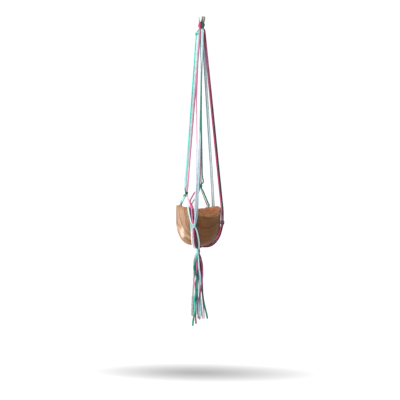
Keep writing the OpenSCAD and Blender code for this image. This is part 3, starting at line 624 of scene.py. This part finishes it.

# Colours along each yarn as (height, colour) from the top down, and the record's slot
# Most stops are the yarns' own colours; the navy on cord_grey_middle near the rim and the ink on
# cord_pink_front under the front knot are painted shade.
DYES_AND_SHADE = {
    "cord_teal_left": ("yarn_teal", [(-60, "teal"), (-300, "teal"), (-540, "aqua"), (-556, "deep"),
        (-572, "deep"), (-580, "teal"), (-594, "aqua"), (-610, "shade")]),
    "cord_mint_left": ("yarn_mint", [(-540, "mint"), (-556, "deep"), (-572, "deep"), (-582, "mint"),
        (-700, "mint")]),
    "cord_white_left": ("yarn_white", [(-555, "white"), (-563, "ink"), (-580, "white"), (-606, "mint"),
        (-700, "mint"), (-745, "white")]),
    "cord_pink_left": ("yarn_pink", [(-38, "hot"), (-50, "flesh"), (-120, "flesh"), (-180, "dusty"),
        (-420, "dusty"), (-480, "pink"), (-556, "pink"), (-563, "ink"), (-574, "rose"), (-590, "pink"),
        (-650, "pink"), (-664, "rose"), (-720, "rose")]),
    "cord_white_front": ("yarn_white", [(-60, "mint"), (-170, "mint"), (-200, "sea"), (-348, "sea"),
        (-372, "mist"), (-520, "mist"), (-600, "grey"), (-656, "lilac"), (-668, "maroon"),
        (-740, "wine")]),
    "cord_blue_front": ("yarn_blue", [(-120, "blue"), (-150, "sea"), (-358, "sea"), (-380, "blue"),
        (-560, "blue"), (-600, "steel"), (-650, "steel"), (-668, "blue")]),
    # Its ink below the front knot is painted shade.
    "cord_pink_front": ("yarn_pink", [(-38, "hot"), (-60, "dusty"), (-250, "dusty"), (-280, "flesh"),
        (-360, "rose"), (-430, "lilac"), (-600, "lilac"), (-656, "steel"), (-668, "ink")]),
    "cord_teal_middle": ("yarn_dark_teal", [(-60, "blue"), (-150, "blue"), (-185, "deep"),
        (-530, "deep"), (-548, "jade"), (-620, "jade")]),
    "cord_rose_middle": ("yarn_rose", [(-60, "flesh"), (-300, "rose"), (-540, "flesh"), (-560, "pale"),
        (-640, "pale"), (-700, "rose")]),
    "cord_maroon_middle": ("yarn_maroon", [(-60, "maroon"), (-540, "maroon"), (-552, "hot"),
        (-600, "hot"), (-615, "wine"), (-720, "wine")]),
    # Its navy near the rim is painted shade.
    "cord_grey_middle": ("yarn_grey", [(-60, "grey"), (-540, "grey"), (-570, "sage"), (-590, "sage"),
        (-606, "navy"), (-720, "wine")]),
    "cord_grey_back": ("yarn_grey", [(-60, "steel"), (-380, "steel"), (-480, "grey"), (-740, "grey")]),
    "cord_lilac_back": ("yarn_lilac", [(-60, "blue"), (-200, "grey"), (-540, "grey"), (-640, "lilac")]),
    "cord_pink_right": ("yarn_pink", [(-40, "wine"), (-90, "maroon"), (-150, "dusty"), (-340, "hot"),
        (-560, "hot"), (-600, "pink"), (-655, "hot"), (-705, "hot"), (-725, "maroon")]),
    "cord_maroon_right": ("yarn_maroon", [(-60, "maroon"), (-300, "maroon"), (-420, "ink"),
        (-640, "ink"), (-680, "maroon")]),
    "cord_green_right": ("yarn_green", [(-38, "wine"), (-60, "maroon"), (-120, "dusty"),
        (-240, "maroon"), (-330, "green"), (-640, "green"), (-700, "wine")]),
    "tail_teal": ("yarn_teal", [(-768, "teal"), (-790, "jade"), (-815, "deep"), (-850, "sea"),
        (-882, "deep"), (-900, "bright"), (-920, "bright"), (-945, "teal"), (-965, "jade")]),
    "tail_blue": ("yarn_blue", [(-768, "blue"), (-870, "blue"), (-910, "steel"), (-960, "blue")]),
    "tail_pink": ("yarn_pink", [(-768, "wine"), (-800, "maroon"), (-850, "dusty"), (-880, "maroon"),
        (-912, "maroon"), (-926, "steel"), (-962, "grey"), (-972, "hot")]),
    "tail_white": ("yarn_white", [(-768, "ash"), (-960, "ash")]),
    "tail_rosy": ("yarn_rose", [(-768, "rose"), (-780, "pink"), (-832, "pink"), (-845, "pale"),
        (-862, "pink"), (-872, "rose"), (-880, "pale")]),
    "tail_maroon": ("yarn_maroon", [(-768, "rose"), (-805, "flesh"), (-820, "shade"), (-880, "steel"),
        (-915, "shade"), (-932, "navy"), (-950, "maroon"), (-975, "hot"), (-990, "maroon")]),
    "tail_mint": ("yarn_mint", [(-768, "mint"), (-800, "ash"), (-960, "ash")]),
    "tail_short": ("yarn_dark_teal", [(-768, "shade"), (-850, "deep"), (-920, "shade")]),
    "tail_sage": ("yarn_sage", [(-768, "shade"), (-840, "steel"), (-900, "steel"), (-960, "sage")]),
    "tail_grey": ("yarn_grey", [(-768, "wine"), (-835, "maroon"), (-860, "steel"), (-900, "grey"),
        (-970, "rose")]),
    "tail_green": ("yarn_green", [(-768, "green"), (-840, "maroon"), (-900, "shade"), (-950, "deep")]),
    "tail_olive": ("yarn_olive", [(-768, "wine"), (-850, "olive"), (-930, "olive"), (-970, "pale")]),
    "tail_lilac": ("yarn_lilac", [(-768, "steel"), (-960, "lilac")]),
    "tail_navy": ("yarn_navy", [(-768, "navy"), (-860, "shade"), (-960, "steel")]),
    "tail_pale": ("yarn_white", [(-768, "ash"), (-950, "ash")]),
    "tail_plum": ("yarn_maroon", [(-768, "wine"), (-960, "maroon")]),
    "loop_grey": ("yarn_grey", [(0, "grey"), (-5, "grey"), (-9, "pink"), (-14, "hot")]),
    "loop_green": ("yarn_green", [(2, "olive"), (-9, "shade"), (-14, "ink")]),
    "loop_sage": ("yarn_sage", [(2, "sage"), (-6, "sage"), (-12, "shade")]),
    "loop_dark": ("yarn_dark_teal", [(2, "olive"), (-8, "olive"), (-14, "green")]),
}


# ---- Yarn
RING_STEP = 1.4
SIDES = 18
PLIES = 3
PLY_TURN = 15.0
PLY_DEPTH = 0.18
FLUFF = 1.07
TAIL_FLUFF = 1.16


def cut_back(p, q, cut):
    return along(p, q, min(0.45, cut / max(0.01, np.linalg.norm((q - p)[:3]))))


def rounded(points, cut):
    """Cuts each corner of a route back and bends a parabola across it."""
    p = np.array(points, float)
    out = [p[0]]
    for i in range(1, len(p) - 1):
        a, b = cut_back(p[i], p[i - 1], cut), cut_back(p[i], p[i + 1], cut)
        out += [along(along(a, p[i], f), along(p[i], b, f), f) for f in (0, 0.25, 0.5, 0.75, 1)]
    return np.array([*out, p[-1]])


def evenly(points, step):
    """The route again, with points a step apart and no sharp change of bend."""
    run = np.concatenate([[0], np.cumsum(np.linalg.norm(np.diff(points[:, :3], axis=0), axis=1))])
    at = np.linspace(0, run[-1], max(8, int(run[-1] / step)))
    line = np.stack([np.interp(at, run, points[:, k]) for k in range(4)], axis=1)
    for _ in range(3):
        line[1:-1] = (line[:-2] + 2 * line[1:-1] + line[2:]) / 4
    return line


def side_vectors(line):
    """For each ring, its direction and two side vectors that don't twist along the line."""
    ahead = np.gradient(line, axis=0)
    ahead /= np.linalg.norm(ahead, axis=1)[:, None]
    side = np.empty_like(ahead)
    v = np.cross(ahead[0], (0.3, 1, 0.1))
    for i, t in enumerate(ahead):
        v = v - (v @ t) * t
        v = v / np.linalg.norm(v)
        side[i] = v
    return ahead, side, np.cross(ahead, side)


def uneven(run, seed, size):
    """A smooth random share near 1 along a yarn, the same each time."""
    r = np.random.default_rng(seed)
    waves = [(r.uniform(20, 70), r.uniform(0, 6.28), r.uniform(0.5, 1)) for _ in range(4)]
    return 1 + size * sum(w * np.sin(6.283 * run / length + start) for length, start, w in waves) / 3


def tint_at(dye, z):
    stops = sorted((s, COLOURS[c]) for s, c in dye)
    heights = [s for s, _ in stops]
    return np.stack([np.interp(z, heights, [c[k] for _, c in stops]) for k in range(3)], axis=1)


class Skin:
    """Points, faces and point attributes that make one piece."""

    def __init__(self):
        self.points, self.faces, self.tint, self.fibre, self.crease_shade = [], [], [], [], []
        self.count = 0

    def add(self, points, faces, tint, fibre, crease_shade):
        self.faces += [tuple(i + self.count for i in f) for f in faces]
        self.points.append(points)
        self.tint.append(tint)
        self.fibre.append(fibre)
        self.crease_shade.append(crease_shade)
        self.count += len(points)

    def tube(self, line, thick, dye, seed=0, turn=PLY_TURN, depth=PLY_DEPTH, sides=SIDES, wide=0.05):
        """A twisted yarn along a line of (x, y, z, share of its thickness)."""
        n = len(line)
        run = np.concatenate([[0], np.cumsum(np.linalg.norm(np.diff(line[:, :3], axis=0), axis=1))])
        ahead, u, w = side_vectors(line[:, :3])
        round_at = np.arange(sides) * 2 * math.pi / sides
        lobes = np.abs(np.cos(PLIES * round_at / 2)) ** 0.7
        size = thick / 2 * line[:, 3] * uneven(run, seed, wide)
        ends = np.minimum(1, 0.62 + 0.38 * np.minimum(run, run[-1] - run) / (0.3 * thick))
        reach = (1 - depth + depth * lobes)[None, :] * (size * ends)[:, None]
        angle = round_at[None, :] + (2 * math.pi * run / turn + seed)[:, None]
        rings = (line[:, None, :3] + reach[..., None] * (np.cos(angle)[..., None] * u[:, None, :]
                                                          + np.sin(angle)[..., None] * w[:, None, :]))
        caps = [line[0, :3] - 0.25 * thick * ahead[0] * line[0, 3], line[-1, :3] + 0.2 * thick * ahead[-1]
                * line[-1, 3]]
        points = np.concatenate([rings.reshape(-1, 3), caps])
        nxt = [(j + 1) % sides for j in range(sides)]
        faces = [(i * sides + j, i * sides + nxt[j], (i + 1) * sides + nxt[j], (i + 1) * sides + j)
                 for i in range(n - 1) for j in range(sides)]
        faces += [(n * sides, nxt[j], j) for j in range(sides)]
        faces += [(n * sides + 1, (n - 1) * sides + j, (n - 1) * sides + nxt[j]) for j in range(sides)]
        fibre = np.stack([np.tile(np.cos(round_at), n), np.tile(np.sin(round_at), n),
                          np.repeat(run * 0.12 + seed * 3.7, sides)], axis=1)
        fibre = np.concatenate([fibre, fibre[:1], fibre[-1:]])
        colour = tint_at(dye, points[:, 2])
        # Painted shade share: 1 in the creases between the plies, where the yarn is drawn darker.
        crease_shade = np.concatenate([np.tile(1 - lobes, n), [0.3, 0.3]])
        self.add(points, faces, colour, fibre, crease_shade)

    def piece(self, name, mat):
        mesh = bpy.data.meshes.new(name)
        points = np.concatenate(self.points) * MM
        mesh.from_pydata(points.tolist(), [], self.faces)
        tint = np.concatenate(self.tint)
        tint = np.concatenate([tint, np.ones((len(tint), 1))], axis=1)
        mesh.attributes.new("tint", "FLOAT_COLOR", "POINT").data.foreach_set("color", tint.ravel())
        mesh.attributes.new("fibre", "FLOAT_VECTOR", "POINT").data.foreach_set(
            "vector", np.concatenate(self.fibre).ravel())
        mesh.attributes.new("crease_shade", "FLOAT", "POINT").data.foreach_set("value", np.concatenate(self.crease_shade))
        mesh.shade_smooth()
        mesh.materials.append(mat)
        piece = bpy.data.objects.new(name, mesh)
        bpy.context.scene.collection.objects.link(piece)
        return piece


def piece_name(node):
    return "yarn_" + node


def seed_of(name):
    return sum(ord(c) * (i + 1) for i, c in enumerate(name)) % 97


def place(piece, body, slot, *nodes):
    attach(piece, body)
    if nodes:
        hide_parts(*nodes)
    return piece


# How much thicker than the rest a tail is, at four heights from the wrap down
SWELL = {"tail_teal": [1.06, 1.08, 1.26, 1.24], "tail_green": [1, 1.14, 1.2, 1.2],
         "tail_maroon": [1, 1, 1.12, 1.16], "tail_blue": [1.06, 1.04, 1, 1]}


def make_tail(node, route, mat):
    """A free tail of the tassel. It starts inside the gather wrap, and ends cut."""
    x, y, z, k = route[0]
    inner = [x * 0.5, y * 0.5, TASSEL_PIVOT_Z - 1.5, GRIP * 0.9]
    line = evenly(rounded([inner, *route], 9), RING_STEP)
    line[:, 3] *= np.interp(-line[:, 2], [780, 960, 975, 1000], SWELL.get(node, [1, 1, 1, 1]))
    slot, dye = DYES_AND_SHADE[node]
    skin = Skin()
    skin.tube(line, TAIL_D * TAIL_FLUFF, dye, seed_of(node))
    piece = place(skin.piece(piece_name(node), mat), "tassel", slot, node)


def knot_centre(end, start):
    """Centre of the knot between two stretches, from the places where a yarn enters and leaves it."""
    middle = (np.array(end[:3], float) + np.array(start[:3], float)) / 2
    knots = [k[0] if len(k[0]) == 3 else beside(k[0][0], k[0][1], 0, RING_Z)[:3]
             for k in (LEFT_KNOT, MIDDLE_KNOT, FRONT_KNOT, RIGHT_KNOT, BACK_KNOT)]
    knots = [np.array(c, float) for c in [*knots, JOIN_KNOT]]
    return min(knots, key=lambda c: np.linalg.norm(c - middle)), middle


def whole_route(stretches):
    """A yarn's stretches joined through its knots, from inside the top knot to inside the gather wrap."""
    x, y, z, k = stretches[0][0]
    points = [[x * 0.35, y * 0.35, TOP_KNOT_Z - 6, 0.7], [x * 0.62, y * 0.62, TOP_KNOT_Z - 10.5, 0.7]]
    for i, stretch in enumerate(stretches):
        if i:
            centre, middle = knot_centre(stretches[i - 1][-1], stretch[0])
            points.append([*(centre + (middle - centre) * 0.6), 0.62])
        points += [list(p) for p in stretch]
    x, y, z, k = points[-1]
    points += [[x * 0.62, y * 0.62, WRAP_TOP_Z - 3, GRIP * 0.9]]
    return points


def make_cord(node, stretches, mat):
    slot, dye = DYES_AND_SHADE[node]
    skin = Skin()
    skin.tube(evenly(rounded(whole_route(stretches), 9), RING_STEP), YARN_D * FLUFF, dye, seed_of(node))
    place(skin.piece(piece_name(node), mat), "net", slot, node)


def make_loop(node, spec, mat):
    """One yarn of the hanging loop: up from the knot, over the hook and down again."""
    low, high, lift = spec
    over = LOOP_D / 2 + lift
    half = [[low * 0.6, 4, TOP_KNOT_Z + 6, 0.9], [low, 7, -12.6, 1], [(low + high) / 2, 7.9, -7.5, 1],
            [high, 8, -3, 1], [high, 6.4, over - 2.3, 1], [high, 3.4, over - 0.6, 1]]
    route = half + [[high, 0, over, 1]] + [[p[0], -p[1], p[2], p[3]] for p in half[::-1]]
    slot, dye = DYES_AND_SHADE[node]
    skin = Skin()
    skin.tube(evenly(rounded(route, 4), 0.8), LOOP_D, dye, seed_of(node), turn=11)
    place(skin.piece(piece_name(node), mat), "hook_end", slot, node)


# ---- Knots
def wound_line(half_w, half_d, low, high, turns, tilt=0.0, start=0.0, square=0.6):
    """Turns round a bar with round ends, as (across, out, up), from low to high."""
    n = int(40 * turns)
    a = np.linspace(0, 2 * math.pi * turns, n) + start
    up = np.linspace(low, high, n)
    across = half_w * np.sign(np.cos(a)) * np.abs(np.cos(a)) ** square
    out = half_d * np.sin(a)
    return np.stack([across, out, up + tilt * across], axis=1)


def turned(points, centre, az):
    """Points given as (across, out, up), put at a centre and turned so that out points along azimuth az."""
    p = np.array(points, float)
    x = p[:, 1] * cosd(az) - p[:, 0] * sind(az) + centre[0]
    y = p[:, 1] * sind(az) + p[:, 0] * cosd(az) + centre[1]
    return np.stack([x, y, p[:, 2] + centre[2], np.ones(len(p))], axis=1)


def dye_and_shade_across(skin, centre_x, stops):
    """Colours a knot or the gather wrap by place from left to right: stops are (distance from its middle,
    colour). On the gather wrap it paints shade on the right.
    """
    for i, points in enumerate(skin.points):
        x = points[:, 0] - centre_x
        skin.tint[i] = np.stack([np.interp(x, [s for s, _ in stops], [COLOURS[c][k] for _, c in stops])
                                 for k in range(3)], axis=1)


def make_knot(node, knot, az, turns, stops, mat, slot, thick=3.5):
    """A wound knot: turns of yarn round the bundle, and a bight down each side."""
    centre = knot[0] if len(knot[0]) == 3 else beside(knot[0][0], knot[0][1], 0, RING_Z)[:3]
    half_w, half_d, half_h = (s / 2 for s in knot[1:4])
    half_w, half_d = half_w - thick / 2, half_d - thick / 2
    skin = Skin()
    seed = seed_of(node)
    step = 2 * (half_h - thick / 2) / turns
    for i in range(turns):
        low = -half_h + thick / 2 + i * step
        ring = wound_line(half_w, half_d, low, low + step, 1.12, 0.12 * (-1) ** i, 1.2 + 2.1 * i)
        skin.tube(evenly(turned(ring, centre, az), 0.9), thick, PLAIN, seed + i, turn=9)
    for side in (-1, 1):
        a = np.linspace(-1.9, 1.9, 26)
        bight = np.stack([side * (half_w * 0.5 + half_w * 0.55 * np.cos(a)),
                          half_d * 0.55 + 0.5 * np.cos(a) * thick,
                          (half_h - thick * 0.45) * np.sin(a)], axis=1)
        skin.tube(evenly(turned(bight, centre, az), 0.9), thick * 0.86, PLAIN, seed + 7 * side + 9, turn=9)
    dye_and_shade_across(skin, centre[0], stops)
    place(skin.piece("wound_" + node, mat), "net", slot, node)


PLAIN = [(-2000, "white"), (100, "white")]


def ball_turn(offset, radius, lean, spin, span=(0, 360)):
    """A turn round a ball, offset along a leaning axis, as (x, y, z, share of thickness)."""
    rim = math.sqrt(max(4, radius * radius - offset * offset))
    a = np.radians(np.linspace(*span, 60))
    ring = np.stack([np.full_like(a, offset), rim * np.cos(a), rim * np.sin(a)], axis=1)
    turn = Matrix.Rotation(math.radians(spin), 3, "Z") @ Matrix.Rotation(math.radians(lean), 3, "Y")
    return np.column_stack([ring @ np.array(turn).T, np.ones(len(a))])


def make_ball_knot(node, centre, bands, stops, mat, body, slot, thick):
    """A knot tied in a ball: each band is (offset, radius, lean, spin, span)."""
    skin = Skin()
    for i, band in enumerate(bands):
        ring = ball_turn(*band) + np.array([*centre, 0])
        skin.tube(evenly(ring, 0.9), thick, PLAIN, 11 + i, turn=2.6 * thick)
    dye_and_shade_across(skin, centre[0], stops)
    place(skin.piece("wound_" + node, mat), body, slot, node)


FULL = (0, 360)
TOP_BANDS = [(-7.8, 10, 14, 8, FULL), (-4.0, 10, 14, 8, FULL), (0, 10, 14, 8, FULL), (4.0, 10, 14, 8, FULL),
             (7.8, 10, 14, 8, FULL), (-1.6, 11.0, 66, -30, (-70, 150)), (2.4, 11.0, 66, -30, (-60, 160))]
TOP_STOPS = [(-12, "flesh"), (-8, "pink"), (-4, "hot"), (-1, "wine"), (1.5, "wine"), (3.5, "deep"),
             (8, "green"), (12, "maroon")]
JOIN_BANDS = [(-2.1, 3.3, 12, 20, FULL), (1.6, 3.3, 12, 20, FULL), (-0.3, 4.0, 75, -30, (-80, 150))]

def make_gather_wrap(mat):
    """Yarn wound round all the yarns below the bowl, pale on the lit left and darker with painted shade on
    the right.
    """
    thick, turns = 3.4, 5
    low, high = TASSEL_PIVOT_Z - 4.6, WRAP_PIVOT_Z + 4.6
    a = np.linspace(0, 2 * math.pi * turns, 60 * turns)
    z = np.linspace(low, high, len(a))
    over = np.maximum(0, np.maximum(z - WRAP_PIVOT_Z, TASSEL_PIVOT_Z - z))
    reach = np.sqrt(np.maximum(4, (WRAP_D / 2) ** 2 - over ** 2)) - thick / 2 + 0.2
    line = np.stack([reach * np.cos(a), reach * np.sin(a), z, np.ones(len(a))], axis=1)
    skin = Skin()
    skin.tube(evenly(line, 0.8), thick, PLAIN, 31, turn=9)
    # Painted shade: the wrap is coloured by place, pale on the lit left and dark on the right.
    dye_and_shade_across(skin, 0, [(-7, "aqua"), (-2, "blue"), (2, "steel"), (5.5, "shade"), (7.5, "deep")])
    place(skin.piece("wound_gather_wrap", mat), "gather", "yarn_blue", "gather_wrap")


# ---- Bowl
ROUND_STEPS = 256
EDGE_R = 1.5
BAND_H = 9


def smooth(f):
    f = min(1, max(0, f))
    return f * f * (3 - 2 * f)


def bowl_profile(rim):
    """The bowl's outline at one azimuth as (radius, height, inside, edge), from the foot to the floor."""
    out = [(0.01, 1.6, 0, 0), (FOOT_R - 6, 1.4, 0, 0), (FOOT_R - 3.4, 0.3, 0, 0), (FOOT_R - 2, 0, 0, 0)]
    out += [(*side_at(f, 0), 0, 0) for f in np.linspace(88.5, 0, 30)]
    wall = np.linspace(0, 1, 13)[1:]
    top = rim - EDGE_R
    lean = (RIM_R - BELLY_R) / 69
    out += [(BELLY_R + (top - BELLY_H) * s * lean, BELLY_H + (top - BELLY_H) * s, 0,
             smooth((BAND_H - (rim - BELLY_H) * (1 - s)) / 3) * 0.8) for s in wall]
    outer = BELLY_R + (rim - BELLY_H) * lean
    out += [(outer - EDGE_R + EDGE_R * cosd(a), top + EDGE_R * sind(a), 0, 0.85) for a in (25, 50, 75, 90)]
    inner = outer - WALL_T
    out += [(along(outer - EDGE_R, inner + EDGE_R, f), rim + 0.15 * math.sin(math.pi * f), 0, 1)
            for f in (0.33, 0.67)]
    out += [(inner + EDGE_R - EDGE_R * cosd(a), top + EDGE_R * sind(a), min(1, (90 - a) / 60), max(0, a / 90))
            for a in (90, 65, 40, 15)]
    in_r = BELLY_R - WALL_T
    out += [(inner + (in_r - inner) * s, top + (BELLY_H - top) * s, 1, 0) for s in wall]
    out += [(FOOT_R - 3 + (in_r - FOOT_R + 3) * cosd(f), BELLY_H - (BELLY_H - FLOOR_T) * sind(f), 1, 0)
            for f in np.linspace(0, 90, 26)[1:]]
    out += [(FOOT_R - 10, FLOOR_T, 1, 0), (0.01, FLOOR_T, 1, 0)]
    return out


def make_bowl():
    r = np.random.default_rng(7)
    phases = r.uniform(0, 6.28, 6)
    points, inside, edge = [], [], []
    for j in range(ROUND_STEPS):
        az = 360 * j / ROUND_STEPS
        turn = math.radians(az)
        ragged = 0.3 * math.sin(11 * turn + phases[0]) + 0.25 * math.sin(19 * turn + phases[1]) \
            + 0.18 * math.sin(37 * turn + phases[2])
        for radius, height, into, rim in bowl_profile(rim_at(az) + ragged):
            carve = 0.12 * math.sin(0.9 * height + 2 * math.sin(turn + phases[3])) * (radius > FOOT_R)
            out = radius + carve
            points.append((out * math.cos(turn), out * math.sin(turn), FOOT_Z + height))
            inside.append(into)
            edge.append(rim)
    n = len(points) // ROUND_STEPS
    faces = []
    for j in range(ROUND_STEPS):
        k = (j + 1) % ROUND_STEPS
        faces += [(j * n + i, k * n + i, k * n + i + 1, j * n + i + 1) for i in range(n - 1)]
    mesh = bpy.data.meshes.new("wooden_bowl")
    mesh.from_pydata((np.array(points) * MM).tolist(), [], faces)
    mesh.attributes.new("inside", "FLOAT", "POINT").data.foreach_set("value", inside)
    mesh.attributes.new("edge", "FLOAT", "POINT").data.foreach_set("value", edge)
    mesh.shade_smooth()
    mesh.materials.append(wood_material())
    bowl = bpy.data.objects.new("wooden_bowl", mesh)
    bpy.context.scene.collection.objects.link(bowl)
    close_poles(bowl)
    place(bowl, "bowl", "wood", "bowl")


def close_poles(piece):
    """Joins the tiny rings at the middle of the foot and of the floor into single points."""
    b = bmesh.new()
    b.from_mesh(piece.data)
    bmesh.ops.remove_doubles(b, verts=[v for v in b.verts if v.co.xy.length < 2e-5], dist=5e-5)
    b.to_mesh(piece.data)
    b.free()


# ---- The scene
make_camera()
YARN = yarn_material()
for node, route in TAILS.items():
    make_tail(node, route, YARN)
for node, stretches in CORDS.items():
    make_cord(node, stretches, YARN)
for node, spec in LOOPS.items():
    make_loop(node, spec, YARN)
make_ball_knot("top_knot", [0, 0, TOP_KNOT_Z], TOP_BANDS, TOP_STOPS, YARN, "top_knot", "yarn_maroon", 4.2)
make_ball_knot("join_knot", JOIN_KNOT, JOIN_BANDS, [(-5, "teal"), (0, "bright"), (5, "teal")], YARN, "net",
               "yarn_teal", 3.8)
make_knot("knot_left", LEFT_KNOT, -80, 2, [(-5, "aqua"), (-1.5, "deep"), (2.5, "ink"), (6, "maroon")], YARN,
          "yarn_dark_teal", 3.2)
make_knot("knot_middle", MIDDLE_KNOT, -90, 3, [(-5, "jade"), (1, "jade"), (3.5, "ink"), (6.5, "hot")], YARN,
          "yarn_maroon", 3.5)
make_knot("knot_front", FRONT_KNOT, -101, 3,
          [(-9, "aqua"), (-3, "blue"), (3, "aqua"), (5.5, "steel"), (7.5, "ink")], YARN, "yarn_blue", 3.8)
make_knot("knot_right", RIGHT_KNOT, -8, 3, [(-7, "deep"), (-2, "deep"), (1, "hot"), (4, "ink"), (7, "green")],
          YARN, "yarn_dark_teal", 3.6)
make_knot("knot_back", BACK_KNOT, 100, 3, [(-8, "teal"), (-2, "mint"), (3, "rose"), (8, "lilac")], YARN,
          "yarn_lilac", 3.6)
make_gather_wrap(YARN)
make_bowl()
make_light()
make_floor()
